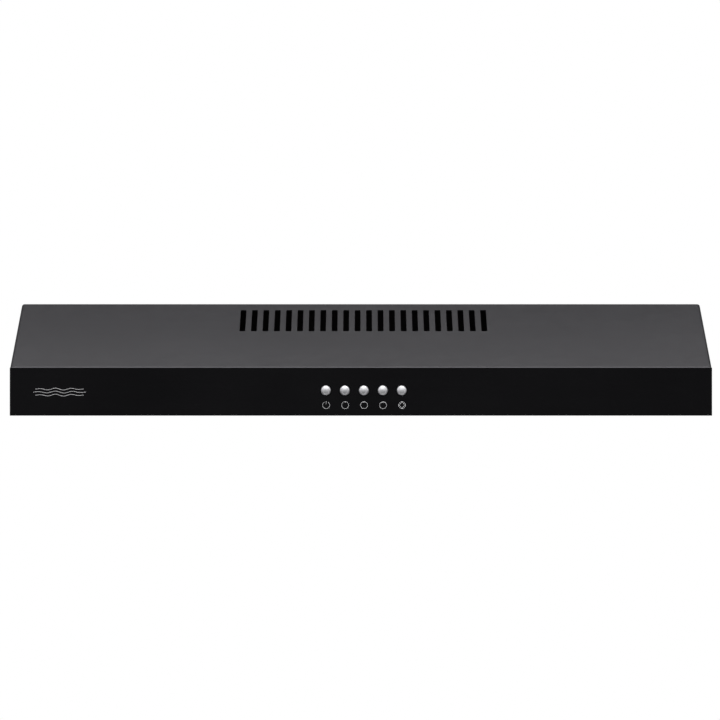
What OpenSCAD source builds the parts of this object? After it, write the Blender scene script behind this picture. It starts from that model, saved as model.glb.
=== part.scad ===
// Slim under cabinet range hood with a single blower, a recirculation grille and two grease filters.
// Millimetres. +X right, -Y towards the cook, +Z up. The origin is on the top face, at the centre
// of the four cabinet screws.

/* [Canopy] */
// Width of the hood
body_w = 600; // [598:1:604]
// Height from the bottom rim to the top face
body_h = 97; // [97:1:100]
// Depth of the flat top that lies under the cabinet
flat_d = 340; // [340:1:348]
// Depth that the sloping part takes, measured level
slope_d = 140; // [138:1:144]
// Height of the front panel
fascia_h = 41; // [40:1:42]
// Thickness of the steel sheet
sheet = 0.8; // [0.7:0.1:0.9]
// Outside radius along the top edges of both sides
edge_r = 2.5; // [2:0.5:3]
// Outside radius of the bend between the top and the slope
bend_r = 8; // [5:1:10]
// Outside radius of the fold from the slope down behind the front panel
fold_r = 1.5; // [1:0.5:2]

/* [Slots] */
// Number of slots in the slope
slot_n = 22; // [16:1:22]
// Distance from slot to slot
slot_pitch = 10.05; // [9.5:0.05:10.2]
// Width of a slot
slot_w = 5.1; // [4.4:0.1:5.4]
// Length of a slot along the slope
slot_l = 51; // [44:1:52]
// Radius of a slot's corners
slot_corner_r = 1.2; // [0.5:0.1:2]
// Distance from the bend to the near end of a slot
slot_start = 14.5; // [12:0.5:16]
// How far the row of slots sits to the right of the centre
slot_shift = 2.15; // [0:0.05:4]

/* [Buttons] */
// How far the middle button sits to the right of the centre
panel_shift = 2.45; // [0:0.05:4]
// Distance from button to button
button_pitch = 16.2; // [15:0.1:18]
// Diameter of a button
button_d = 8; // [7.6:0.1:8.6]
// Diameter of the hole around a button
button_hole_d = 9.2; // [9:0.1:9.8]
// How far a button stands out of the front panel
button_out = 2.6; // [2:0.1:3]

/* [Outlet] */
// Inside diameter of the outlet socket, for a duct collar
outlet_d = 120; // [118:1:120]
// Depth of the outlet socket's bore
outlet_depth = 14; // [10:1:14]

/* [Blower] */
// Diameter of the fan wheel
wheel_d = 150; // [140:1:152]
// Number of blades
blade_n = 40; // [30:1:44]

/* [Hidden] */
$fn = 48;

// Play left between parts that only rest against each other
gap = 0.1;
// Overshoot of a cutting shape past the face that it cuts
cut = 1;

half_w = body_w / 2;
rear_y = flat_d / 2;
bend_y = -flat_d / 2;
front_y = bend_y - slope_d;
floor_z = -body_h;
slope_rise = body_h - fascia_h;
slope_a = atan(slope_rise / slope_d);
fascia_t = 1;
lip_y = front_y + fascia_t;

// Cabinet screws
cabinet_screw_x = 270;
cabinet_screw_y = 140;
cabinet_hole_r = 3;

// Bottom frame: its sheet lies on the canopy's inward flanges
flange_w = 14;
flange_z = floor_z + 1.2;
frame_z = flange_z + sheet + gap;
lip_h = 7;

// Filters
filter_w = 268;
filter_x = 146;
filter_t = 9;
filter_rear_y = 147;
filter_front_y = -187;
filter_z = frame_z - 0.5;
filter_band = 11;
filter_play = 2;
mesh_t = 0.6;
tab_x = 80;
tab_w = 20;
aperture_front_y = filter_front_y - 4;
aperture_rear_y = filter_rear_y + 4;
bezel_w = 60;
bezel_l = 27;
latch_gap = 0.4;
latch_w = 18;

// Studs that hold the front panel to the fold of the canopy
stud_xs = [-240, -90, 90, 240];
stud_z = -63;
stud_r = 1.9;
fold_low_z = -68;

// Buttons and switch
button_z = floor_z + 21.6;
button_xs = [for (i = [-2:2]) panel_shift + i * button_pitch];
plunger_w = 4;
switch_front_y = front_y + 14;
switch_rear_y = front_y + 34;
switch_w = 92;
switch_h = 17;
switch_screw_x = 52;

// Lamp
lamp_y = front_y + 68;
lamp_z = floor_z + 28;
lens_w = 104;
lens_l = 56;
bulb_r = 22.5;
holder_r = 14;
holder_x0 = -66;
holder_x1 = -30;
cap_r = 7;

// Air box and chute
box_w = 132;
box_front_y = -72;
box_rear_y = 162;
box_low_z = floor_z + 23;
box_top_z = -24;
wall = 2;
outlet_y = 50;
outlet_r = outlet_d / 2;
chute_w = 232;
chute_front_y = bend_y - 70;

// Back-draught damper in the outlet socket
damper_r = outlet_r - 3.7;
damper_z = -19;
rod_r = 1.5;
knuckle_r = 2.6;
front_knuckles = [[-48, -36], [12, 24]];
rear_knuckles = [[-24, -12], [36, 48]];

// Mode flap: up, it closes the outlet and the air leaves by the slots
flap_y = -14;
flap_z = -29.5;
flap_l = 132;
flap_shaft_r = 2.5;

// Blower
fan_x = -178;
fan_y = 40;
wheel_r = wheel_d / 2;
scroll_r0 = wheel_r + 7;
scroll_growth = 30;
scroll_turn = 300;
scroll_wall = 2.2;
scroll_split_z = (box_top_z + box_low_z) / 2;
exit_y0 = fan_y + 46;
exit_y1 = fan_y + scroll_r0 + scroll_growth;
exit_x = -box_w / 2 - gap;
inlet_r = 60;
lug_turns = [40, 110, 170, 220, 280];
lug_out = 7;
hung_lugs = [40, 170, 280];
shaft_r = 4;
stator_r = 44;
rotor_r = 21;
stack_low_z = -43;
stack_top_z = -19;
arm_r = 64;
arm_z = -10;
bush_z = -17;

// Electrics on the right
junction_x = 215;
junction_y = 112;
junction_w = 70;
junction_l = 50;
junction_h = 32;
capacitor_y0 = 0;
capacitor_y1 = 55;
capacitor_r = 15;
capacitor_z = -20;
capacitor_clip_y = 25;
tag_l = 9;
grommet_z = -20;
grommet_r = 3.5;

function arc(centre, r, from, to, n = 6) =
    [for (i = [0:n]) let (a = from + (to - from) * i / n) centre + r * [cos(a), sin(a)]];

// Height of the slope's outer face at a depth y
function slope_z(y) = (y - bend_y) * tan(slope_a);

// Height of the slope's inner face, with a little play
function under_slope(y) = slope_z(y) - (sheet + 0.3) / cos(slope_a);

// Outline of the canopy from the side, set in by d from the top, the slope and the front
function side_outline(d, back, low) = let (fold_y = lip_y + fold_r) concat(
    [[back, low], [back, -d]],
    arc([bend_y + bend_r * tan(slope_a / 2), -bend_r], bend_r - d, 90, 90 + slope_a),
    arc([fold_y, slope_z(fold_y) - fold_r / cos(slope_a)], fold_r - d, 90 + slope_a, 180),
    [[lip_y + d, low]]);

// Centre line of the scroll's inner wall after a turn of t degrees from the tongue
function scroll_r(t) = scroll_r0 + scroll_growth * t / scroll_turn;
function scroll_point(t, out = 0) =
    [fan_x, fan_y] + (scroll_r(t) + out) * [cos(30 - t), sin(30 - t)];

// Turns an outline drawn in y and z into a bar along X
module along_x(length, centre = 0) {
    translate([centre - length / 2, 0, 0]) rotate([90, 0, 90]) linear_extrude(length) children();
}

// A bar along X or Y with a round section
module rod_x(x0, x1, y, z, r) {
    translate([x0, y, z]) rotate([0, 90, 0]) cylinder(h = x1 - x0, r = r);
}

module rod_y(y0, y1, x, z, r) {
    translate([x, y0, z]) rotate([-90, 0, 0]) cylinder(h = y1 - y0, r = r);
}

module rod_z(z0, z1, x, y, r) {
    translate([x, y, z0]) cylinder(h = z1 - z0, r = r);
}

// A box between two corners
module block(low, high) {
    translate(low) cube(high - low);
}

// Pan head screw with a cross recess, its head's seat at the origin and its shank along -Z
module screw(shank_l, head_r = 3.8, head_h = 1.9, shank_r = 1.6) {
    difference() {
        union() {
            cylinder(h = head_h, r1 = head_r, r2 = head_r * 0.8);
            translate([0, 0, -shank_l]) cylinder(h = shank_l + 0.01, r = shank_r);
        }
        for (a = [0, 90])
            rotate([0, 0, a]) translate([-head_r * 0.55, -0.4, head_h * 0.4])
                cube([head_r * 1.1, 0.8, head_h]);
    }
}

// ---- Sheet metal ----

// Long bar along Y with rounded top corners. Its top lies d below z = 0, and its sides lie d inside
// the canopy's sides
module rounded_bar(d) {
    w = half_w - d;
    r = edge_r - d;
    translate([0, 500, 0]) rotate([90, 0, 0]) linear_extrude(900) {
        translate([-w, -400]) square([2 * w, 400 - d - r]);
        translate([-w + r, -400]) square([2 * (w - r), 400 - d]);
        for (side = [-1, 1]) translate([side * (w - r), -d - r]) circle(r);
    }
}

// Solid that follows the canopy's outside, or its inside when d is the sheet's thickness
module canopy_solid(d, back, low) {
    intersection() {
        along_x(body_w - 2 * d) polygon(side_outline(d, back, low));
        rounded_bar(d);
        translate([0, bend_y, 0]) rotate([slope_a, 0, 0]) rounded_bar(d);
    }
}

module slot() {
    translate([0, 0, -2]) linear_extrude(4) {
        translate([-slot_w / 2, slot_corner_r]) square([slot_w, slot_l - 2 * slot_corner_r]);
        translate([-slot_w / 2 + slot_corner_r, 0]) square([slot_w - 2 * slot_corner_r, slot_l]);
        for (side = [-1, 1], y = [slot_corner_r, slot_l - slot_corner_r])
            translate([side * (slot_w / 2 - slot_corner_r), y]) circle(slot_corner_r);
    }
}

module slot_row() {
    for (i = [0:slot_n - 1])
        translate([slot_shift + (i - (slot_n - 1) / 2) * slot_pitch, bend_y, 0])
            rotate([slope_a, 0, 0]) translate([0, -slot_start - slot_l, 0]) slot();
}

module cabinet_holes() {
    for (x = [-1, 1], y = [-1, 1])
        rod_z(-cut - sheet, cut, x * cabinet_screw_x, y * cabinet_screw_y, cabinet_hole_r);
}

module frame_screw_places() {
    for (side = [-1, 1], y = [-240, -60, 120])
        translate([side * (half_w - sheet - flange_w / 2), y, 0]) children();
}

// Screws that hold the blower, the outlet socket, the junction box and the capacitor's clip to the top
top_screw_xys = concat(
    [for (t = hung_lugs) scroll_point(t, lug_out)],
    [for (a = [45:90:315]) [0, outlet_y] + (outlet_r + 6.5) * [cos(a), sin(a)]],
    [for (side = [-1, 1]) [junction_x, junction_y] + side * [28, 18]],
    [for (side = [-1, 1]) [junction_x + side * 21.5, capacitor_clip_y]]);

module canopy() {
    color([0.07, 0.07, 0.075]) difference() {
        union() {
            difference() {
                canopy_solid(0, rear_y, floor_z);
                canopy_solid(sheet, rear_y + cut, floor_z - cut);
                block([-half_w + sheet, lip_y - cut, floor_z - cut],
                    [half_w - sheet, lip_y + cut, fold_low_z]);
            }
            for (side = [-1, 1]) mirror([side < 0 ? 1 : 0, 0, 0])
                block([half_w - sheet - flange_w, lip_y + 19, flange_z],
                    [half_w - sheet / 2, rear_y - 14, flange_z + sheet]);
        }
        slot_row();
        cabinet_holes();
        rod_z(-cut - sheet, cut, 0, outlet_y, outlet_r + 2.5);
        frame_screw_places() rod_z(flange_z - cut, flange_z + sheet + cut, 0, 0, 2);
        for (x = stud_xs) rod_y(lip_y - cut, lip_y + sheet + cut, x, stud_z, stud_r + 0.4);
        for (p = top_screw_xys) translate([p.x, p.y, -sheet - 0.2])
            cylinder(h = sheet + 0.4, r1 = 1.43, r2 = 3.67);
    }
}

// The rear panel's outline leaves room for the rounded corners of the canopy around it
module rear_outline(inner) {
    corner_x = half_w - edge_r;
    corner_r = inner - corner_x;
    polygon(concat([[-inner, floor_z]], arc([-corner_x, -edge_r], corner_r, 180, 90),
        arc([corner_x, -edge_r], corner_r, 90, 0), [[inner, floor_z]]));
}

module rear_panel() {
    inner = half_w - sheet - gap;
    top_z = -sheet - gap;
    color([0.07, 0.07, 0.075]) difference() {
        union() {
            translate([0, rear_y, 0]) rotate([90, 0, 0]) linear_extrude(sheet) rear_outline(inner);
            for (side = [-1, 1]) mirror([side < 0 ? 1 : 0, 0, 0])
                block([inner - sheet, rear_y - 13, frame_z + 2], [inner, rear_y - sheet / 2, -edge_r]);
            block([-inner + 3, rear_y - 13, top_z - sheet], [inner - 3, rear_y - sheet / 2, top_z]);
            block([-inner, rear_y - 13, flange_z], [inner, rear_y - sheet / 2, flange_z + sheet]);
        }
        rod_y(rear_y - 3, rear_y + cut, junction_x, grommet_z, grommet_r + 2.5);
    }
}

module fascia() {
    bend = 1.3;
    return_y = front_y + 18;
    outline = concat(
        [[front_y, floor_z + fascia_h]],
        arc([front_y + bend, floor_z + bend], bend, 180, 270),
        [[return_y, floor_z], [return_y, floor_z + fascia_t]],
        arc([front_y + bend, floor_z + bend], bend - fascia_t, 270, 180),
        [[lip_y, floor_z + fascia_h]]);
    color([0.04, 0.04, 0.045]) difference() {
        union() {
            along_x(body_w) polygon(outline);
            for (x = stud_xs) rod_y(lip_y - 0.2, lip_y + 7, x, stud_z, stud_r);
        }
        for (side = [-1, 1]) translate([side * half_w, lip_y + cut + 10, floor_z + 5])
            cube([2.4, 2 * cut + 20, 12], center = true);
        for (x = button_xs) rod_y(front_y - cut, lip_y + cut, x, button_z, button_hole_d / 2);
    }
}

// Upturned lip round an opening in the bottom frame
module frame_lip(x0, x1, y0, y1) {
    difference() {
        block([x0 - sheet, y0 - sheet, frame_z], [x1 + sheet, y1 + sheet, frame_z + lip_h]);
        block([x0, y0, frame_z - cut], [x1, y1, frame_z + lip_h + cut]);
    }
}

module bottom_frame() {
    edge_x = half_w - sheet - gap - 0.1;
    half_a = filter_w / 2 + filter_play;
    color([0.07, 0.07, 0.075]) difference() {
        union() {
            block([-edge_x, lip_y + 1.2, frame_z], [edge_x, rear_y - sheet - gap, frame_z + sheet]);
            for (side = [-1, 1])
                frame_lip(side * filter_x - half_a, side * filter_x + half_a, aperture_front_y,
                    aperture_rear_y);
        }
        for (side = [-1, 1]) translate([side * filter_x, 0, 0]) {
            block([-half_a, aperture_front_y, frame_z - cut],
                [half_a, aperture_rear_y, frame_z + lip_h + cut]);
            for (t = [-1, 1]) translate([t * tab_x, aperture_rear_y, frame_z + sheet + 5])
                cube([tab_w + 3, 6, 10], center = true);
            block([-latch_w / 2 - 2, aperture_front_y - 3, frame_z + 1.6],
                [latch_w / 2 + 2, aperture_front_y + 1, frame_z + 6]);
        }
        block([-lens_w / 2, lamp_y - lens_l / 2, frame_z - cut],
            [lens_w / 2, lamp_y + lens_l / 2, frame_z + cut]);
        frame_screw_places() rod_z(frame_z - cut, frame_z + sheet + cut, 0, 0, 1.65);
    }
}

// ---- Controls ----

// Button with a domed face, a slim barrel and a square plunger that enters the switch
module button(x) {
    r = button_d / 2;
    face_y = front_y - button_out;
    color([0.8, 0.8, 0.82]) union() {
        translate([x, face_y, button_z]) rotate([-90, 0, 0]) rotate_extrude() polygon(concat(
            [[0, 0], [r - 1.3, 0.15]],
            arc([r - 0.9, 1.05], 0.9, -90, 0, 5),
            [[r, 7], [0, 7]]));
        translate([x - plunger_w / 2, face_y + 6.9, button_z - plunger_w / 2])
            cube([plunger_w, switch_front_y - face_y - 0.9, plunger_w]);
    }
}

module switch_block() {
    color([0.9, 0.9, 0.86]) difference() {
        union() {
            translate([panel_shift - switch_w / 2, switch_front_y, button_z - switch_h / 2])
                cube([switch_w, switch_rear_y - switch_front_y, switch_h]);
            translate([panel_shift - switch_screw_x - 6, switch_front_y, button_z - 6])
                cube([2 * switch_screw_x + 12, 6, 12]);
        }
        for (side = [-1, 1])
            rod_y(switch_front_y - cut, switch_front_y + 5, panel_shift + side * switch_screw_x,
                button_z, 1.6);
        for (x = button_xs) translate([x, switch_front_y + 5, button_z])
            cube([plunger_w + 0.5, 12, plunger_w + 0.5], center = true);
        for (x = button_xs) translate([x, switch_front_y, button_z + switch_h / 2])
            cube([9, 26, 3], center = true);
    }
}

module switch_plate() {
    plate_y = switch_front_y - sheet;
    color([0.7, 0.7, 0.72]) difference() {
        union() {
            block([panel_shift - 60, plate_y, button_z - 13],
                [panel_shift + 60, switch_front_y, button_z + 13]);
            for (side = [-1, 1]) translate([panel_shift + side * 56, 0, 0])
                block([-5, plate_y, frame_z + sheet], [5, switch_front_y, button_z]);
            for (side = [-1, 1]) translate([panel_shift + side * 56, 0, 0])
                block([-5, plate_y, frame_z + sheet], [5, switch_front_y + 9, frame_z + 2 * sheet]);
        }
        for (x = button_xs) translate([x, plate_y, button_z])
            cube([plunger_w + 1, 4, plunger_w + 1], center = true);
        for (side = [-1, 1])
            rod_y(plate_y - cut, switch_front_y + cut, panel_shift + side * switch_screw_x, button_z, 1.8);
    }
}

module switch_screws() {
    color([0.75, 0.75, 0.75]) for (side = [-1, 1])
        translate([panel_shift + side * switch_screw_x, switch_front_y - sheet, button_z])
            rotate([90, 0, 0]) screw(5, shank_r = 1.5);
}

module switch_terminals() {
    color([0.8, 0.65, 0.3]) for (i = [0:6])
        translate([panel_shift + (i - 3) * 12, switch_rear_y, button_z])
            difference() {
                block([-3.1, 0, -0.4], [3.1, 7.5, 0.4]);
                rod_z(-cut, cut, 0, 4.6, 0.9);
            }
}

// ---- Lamp ----

module lamp_lens() {
    flange = 4;
    w = lens_w / 2 - 0.3;
    l = lens_l / 2 - 0.3;
    color([0.93, 0.93, 0.9]) translate([0, lamp_y, 0]) difference() {
        union() {
            block([-w, -l, floor_z + 0.6], [w, l, frame_z + sheet + 1]);
            block([-w - flange, -l - flange, frame_z + sheet],
                [w + flange, l + flange, frame_z + sheet + 1.5]);
        }
        block([-w + 1.5, -l + 1.5, floor_z + 2.1], [w - 1.5, l - 1.5, frame_z + 4]);
    }
}

module lamp_bracket() {
    foot_z = frame_z + sheet;
    color([0.7, 0.7, 0.72]) difference() {
        union() {
            block([holder_x0 - 1.5, lamp_y - 18, foot_z], [holder_x0, lamp_y + 18, lamp_z + 18]);
            block([holder_x0 - 20, lamp_y - 18, foot_z], [holder_x0, lamp_y + 18, foot_z + 1.5]);
        }
        rod_x(holder_x0 - 4, holder_x0 + 2, lamp_y, lamp_z, 5);
    }
}

module lamp_holder() {
    color([0.92, 0.92, 0.9]) difference() {
        union() {
            rod_x(holder_x0, holder_x1, lamp_y, lamp_z, holder_r);
            rod_x(holder_x0, holder_x0 + 3, lamp_y, lamp_z, holder_r + 2);
        }
        rod_x(holder_x1 - 20, holder_x1 + cut, lamp_y, lamp_z, cap_r + 0.2);
    }
}

module lamp_cap() {
    color([0.8, 0.8, 0.8]) union() {
        rod_x(holder_x1 - 18, holder_x1 + 4, lamp_y, lamp_z, cap_r - 0.4);
        for (i = [0:4]) rod_x(holder_x1 - 15 + i * 3, holder_x1 - 13.6 + i * 3, lamp_y, lamp_z, cap_r);
    }
}

module lamp_bulb() {
    neck_x = holder_x1 + 4;
    ball_x = 14;
    meet = 38;
    color([0.97, 0.97, 0.95]) translate([0, lamp_y, lamp_z]) rotate([0, 90, 0]) rotate_extrude()
        polygon(concat([[0, neck_x], [cap_r - 0.2, neck_x]],
            [for (p = arc([0, ball_x], bulb_r, -90 + meet, 90, 24)) p]));
}

// ---- Filters ----

module filter_tabs() {
    for (t = [-1, 1]) translate([t * tab_x, 0, 0])
        block([-tab_w / 2, filter_rear_y - 4, filter_z + 1.4],
            [tab_w / 2, filter_rear_y + 8, filter_z + 2.2]);
}

module bezel_space(grow) {
    block([-bezel_w / 2 - grow, filter_front_y - cut, filter_z - cut],
        [bezel_w / 2 + grow, filter_front_y + bezel_l + grow, filter_z + filter_t + cut]);
}

module filter_frame(side) {
    w = filter_w / 2;
    t = 0.8;
    color([0.78, 0.79, 0.8]) translate([side * filter_x, 0, 0]) union() {
        difference() {
            block([-w, filter_front_y, filter_z], [w, filter_rear_y, filter_z + filter_t]);
            block([-w + t, filter_front_y + t, filter_z + t],
                [w - t, filter_rear_y - t, filter_z + filter_t - t]);
            block([-w + filter_band, filter_front_y + filter_band, filter_z - cut],
                [w - filter_band, filter_rear_y - filter_band, filter_z + filter_t + cut]);
            bezel_space(0);
        }
        filter_tabs();
    }
}

// Three layers of mesh, drawn as plain sheets
module filter_mesh(side) {
    w = filter_w / 2 - 0.8;
    color([0.75, 0.76, 0.78]) translate([side * filter_x, 0, 0]) difference() {
        for (z = [0.8, (filter_t - mesh_t) / 2, filter_t - 0.8 - mesh_t])
            block([-w, filter_front_y + 0.8, filter_z + z],
                [w, filter_rear_y - 0.8, filter_z + z + mesh_t]);
        bezel_space(0);
    }
}

module latch_bezel(side) {
    y0 = filter_front_y;
    y1 = y0 + bezel_l;
    color([0.1, 0.1, 0.1]) translate([side * filter_x, 0, 0]) difference() {
        block([-bezel_w / 2, y0, filter_z], [bezel_w / 2, y1, filter_z + filter_t]);
        block([-latch_w / 2 - 2, y0 + 3, filter_z - cut], [latch_w / 2 + 2, y1 - 3, filter_z + 6.8]);
        block([-latch_w / 2 - 4.4, y0 + 3, filter_z + 2.6], [latch_w / 2 + 4.4, y1 - 3, filter_z + 6.8]);
        block([-latch_w / 2 - 0.4, y0 - cut, filter_z + 2.6], [latch_w / 2 + 0.4, y0 + 4, filter_z + 6.8]);
    }
}

module latch_slider(side) {
    nose_y = aperture_front_y + latch_gap;
    pad_y = filter_front_y + 9;
    color([0.16, 0.16, 0.16]) translate([side * filter_x, 0, 0]) difference() {
        union() {
            block([-latch_w / 2, nose_y, filter_z + 3], [latch_w / 2, pad_y + 6, filter_z + 6.4]);
            block([-latch_w / 2 - 4, filter_front_y + 4, filter_z + 3],
                [latch_w / 2 + 4, pad_y + 6, filter_z + 6.4]);
            block([-latch_w / 2, pad_y, filter_z + 0.4], [latch_w / 2, pad_y + 5, filter_z + 5]);
        }
        for (i = [0:2]) translate([0, pad_y + 0.9 + i * 1.6, filter_z + 0.2])
            cube([latch_w + 2, 0.7, 1.2], center = true);
    }
}

// ---- Air ways ----

module air_box() {
    w = box_w / 2;
    color([0.08, 0.08, 0.08]) difference() {
        block([-w, box_front_y, box_low_z], [w, box_rear_y, box_top_z]);
        block([-w + wall, box_front_y - cut, box_low_z + wall],
            [w - wall, box_rear_y - wall, box_top_z - wall]);
        block([-w - cut, exit_y0, box_low_z + wall], [-w + wall + cut, exit_y1, box_top_z - wall]);
        rod_z(box_top_z - wall - cut, box_top_z + cut, 0, outlet_y, outlet_r - 6);
        rod_x(-w - cut, w + cut, flap_y, flap_z, flap_shaft_r + 0.06);
    }
}

module chute_plan(inset) {
    near = box_w / 2 - inset;
    far = chute_w / 2 - inset;
    translate([0, 0, floor_z]) linear_extrude(body_h) polygon([
        [-near, box_front_y + inset], [-far, -130], [-far, chute_front_y + inset],
        [far, chute_front_y + inset], [far, -130], [near, box_front_y + inset]]);
}

module air_chute() {
    outer = [
        [box_front_y - gap, box_low_z], [-150, box_low_z],
        [chute_front_y, under_slope(chute_front_y) - 8], [chute_front_y, under_slope(chute_front_y)],
        [bend_y - 8, under_slope(bend_y - 8)], [-150, box_top_z], [box_front_y - gap, box_top_z]];
    inner = [
        [box_front_y + cut, box_low_z + wall], [-150 + 0.5, box_low_z + wall],
        [chute_front_y + wall, under_slope(chute_front_y) - 6.5], [chute_front_y + wall, 0],
        [bend_y - 10, 0], [bend_y - 10, under_slope(bend_y - 10) - 1],
        [-150 - 1, box_top_z - wall], [box_front_y + cut, box_top_z - wall]];
    color([0.08, 0.08, 0.08]) difference() {
        intersection() {
            along_x(chute_w) polygon(outer);
            chute_plan(0);
        }
        intersection() {
            along_x(chute_w + 2) polygon(inner);
            union() {
                chute_plan(wall);
                block([-box_w / 2 + wall, box_front_y - 3, floor_z],
                    [box_w / 2 - wall, box_front_y + 2, 0]);
            }
        }
    }
}

module outlet_socket() {
    outer_r = outlet_r + 2.2;
    ledge_z = damper_z - 2.3;
    color([0.15, 0.15, 0.15]) translate([0, outlet_y, 0]) difference() {
        union() {
            rod_z(box_top_z + gap, 0, 0, 0, outer_r);
            rod_z(-sheet - gap - 1.6, -sheet - gap, 0, 0, outer_r + 8);
        }
        rod_z(-outlet_depth, cut, 0, 0, outlet_r);
        rod_z(ledge_z, 0, 0, 0, outlet_r - 3);
        rod_z(box_top_z - cut, 0, 0, 0, outlet_r - 6);
        rod_x(-outlet_r - 1.5, outlet_r + 1.5, 0, damper_z, rod_r);
        for (a = [45:90:315]) rotate([0, 0, a]) rod_z(-4, 0, outlet_r + 6.5, 0, 1.6);
    }
}

module damper_rod() {
    color([0.8, 0.8, 0.82]) rod_x(-outlet_r - 1, outlet_r + 1, outlet_y, damper_z, rod_r);
}

// Half disc that hangs on the rod by its own knuckles and makes room for the other flap's
module damper_flap(side, own, other) {
    color([0.2, 0.2, 0.2]) translate([0, outlet_y, damper_z]) difference() {
        union() {
            intersection() {
                rod_z(-2.2, -1, 0, 0, damper_r);
                translate([-damper_r, side > 0 ? 1.8 : -1.8 - damper_r, -3])
                    cube([2 * damper_r, damper_r, 3]);
            }
            for (k = own) {
                rod_x(k[0], k[1], 0, 0, knuckle_r);
                block([k[0], min(0, side * 4), -2.2], [k[1], max(0, side * 4), -1]);
            }
        }
        for (k = own) rod_x(k[0] - 0.01, k[1] + 0.01, 0, 0, rod_r + 0.06);
        for (k = other) rod_x(k[0] - 0.6, k[1] + 0.6, 0, 0, knuckle_r + 0.5);
    }
}

module mode_flap() {
    w = box_w / 2 - wall - 0.8;
    color([0.3, 0.3, 0.32]) union() {
        rod_x(-box_w / 2 - 2, box_w / 2 + 9, flap_y, flap_z, flap_shaft_r);
        block([-w, flap_y, flap_z + 1.5], [w, flap_y + flap_l, flap_z + 3]);
        for (x = [-w, 0, w - 2]) block([x, flap_y, flap_z], [x + 2, flap_y + 30, flap_z + 1.6]);
    }
}

module mode_lever() {
    x0 = box_w / 2 + 3;
    reach = 36;
    color([0.75, 0.2, 0.12]) translate([0, flap_y, flap_z]) difference() {
        union() {
            rod_x(x0, x0 + 6, 0, 0, 7);
            rotate([48, 0, 0]) translate([0, 0, -4]) block([x0, -reach, 0], [x0 + 4, 0, 8]);
            rotate([48, 0, 0]) rod_x(x0, x0 + 14, -reach, 0, 5);
        }
        rod_x(x0 - cut, x0 + 7, 0, 0, flap_shaft_r);
    }
}

// ---- Blower ----

module scroll_outline() {
    polygon(concat([for (t = [0:6:scroll_turn]) scroll_point(t)],
        [[exit_x + 4, exit_y1], [exit_x + 4, exit_y0], [scroll_point(0).x + 14, exit_y0]]));
}

// The scroll's outside, cut off square where it meets the air box
module scroll_shape(grow) {
    intersection() {
        offset(delta = grow) scroll_outline();
        translate([fan_x - 200, fan_y - 200]) square([exit_x - fan_x + 200, 400]);
    }
}

module scroll_lugs(z0, z1, turns) {
    for (t = turns) translate([scroll_point(t, lug_out).x, scroll_point(t, lug_out).y, z0])
        cylinder(h = z1 - z0, r = 6);
}

module scroll_lug_holes() {
    for (t = lug_turns) translate([scroll_point(t, lug_out).x, scroll_point(t, lug_out).y, box_low_z])
        cylinder(h = body_h, r = 1.6);
}

module scroll_half(z0, z1, plate_z) {
    translate([0, 0, z0]) linear_extrude(z1 - z0) difference() {
        scroll_shape(scroll_wall);
        scroll_outline();
    }
    translate([0, 0, plate_z]) linear_extrude(wall) scroll_shape(scroll_wall);
}

module scroll_upper() {
    color([0.9, 0.9, 0.88]) difference() {
        union() {
            scroll_half(scroll_split_z + gap / 2, box_top_z, box_top_z - wall);
            scroll_lugs(scroll_split_z + gap / 2, scroll_split_z + 6, lug_turns);
            scroll_lugs(scroll_split_z + 5, -sheet - gap, hung_lugs);
            for (a = [0:120:240])
                translate([fan_x + arm_r * cos(a), fan_y + arm_r * sin(a), box_top_z - 0.5])
                    cylinder(h = bush_z - box_top_z + 0.5, r = 7);
        }
        rod_z(box_top_z - wall - cut, box_top_z + cut, fan_x, fan_y, stator_r + 6);
        translate([0, 0, -cut - sheet]) scroll_lug_holes();
        for (a = [0:120:240]) rod_z(bush_z - 6, 0, fan_x + arm_r * cos(a), fan_y + arm_r * sin(a), 1.6);
    }
}

module scroll_lower() {
    color([0.9, 0.9, 0.88]) difference() {
        union() {
            scroll_half(box_low_z, scroll_split_z - gap / 2, box_low_z);
            scroll_lugs(scroll_split_z - 6, scroll_split_z - gap / 2, lug_turns);
            translate([fan_x, fan_y, box_low_z]) rotate_extrude() translate([inlet_r, 0])
                square([3, 3.4]);
        }
        rod_z(box_low_z - cut, scroll_split_z, fan_x, fan_y, inlet_r);
        scroll_lug_holes();
    }
}

module inlet_guard() {
    guard_t = 2.6;
    color([0.2, 0.2, 0.2]) translate([fan_x, fan_y, box_low_z - guard_t - gap]) linear_extrude(guard_t) {
        for (r = [14, 26, 38, 50]) difference() {
            circle(r + 1);
            circle(r - 1);
        }
        difference() {
            circle(inlet_r + 5);
            circle(inlet_r);
        }
        circle(5);
        for (a = [0:60:120]) rotate(a) square([2 * inlet_r + 4, 2], center = true);
    }
}

// One forward curved blade, in plan: its turn grows with the square of its way out
module blade_plan() {
    inner = wheel_r - 13;
    tip = wheel_r - 0.6;
    polygon(concat(
        [for (i = [0:4]) (inner + (tip - inner) * i / 4)
            * [cos(0.4 * i * i), sin(0.4 * i * i)]],
        [for (i = [4:-1:0]) (inner + (tip - inner) * i / 4)
            * [cos(0.4 * i * i + 1), sin(0.4 * i * i + 1)]]));
}

module impeller() {
    flange_z1 = -32;
    low_z = box_low_z + 4.5;
    color([0.88, 0.88, 0.86]) translate([fan_x, fan_y, 0]) union() {
        rotate_extrude() polygon([[shaft_r, low_z + 1.5], [9, low_z + 1.5], [9, -62], [46, -62], [54, -34],
            [wheel_r, -34], [wheel_r, flange_z1], [52.6, flange_z1], [44.8, -60.5], [9, -60.5], [9, -58],
            [shaft_r, -58]]);
        translate([0, 0, low_z + 1.5]) linear_extrude(-34 - low_z - 1.4)
            for (i = [0:blade_n - 1]) rotate(i * 360 / blade_n) blade_plan();
        rotate_extrude() translate([wheel_r - 6, low_z]) square([7, 1.6]);
    }
}

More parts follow.
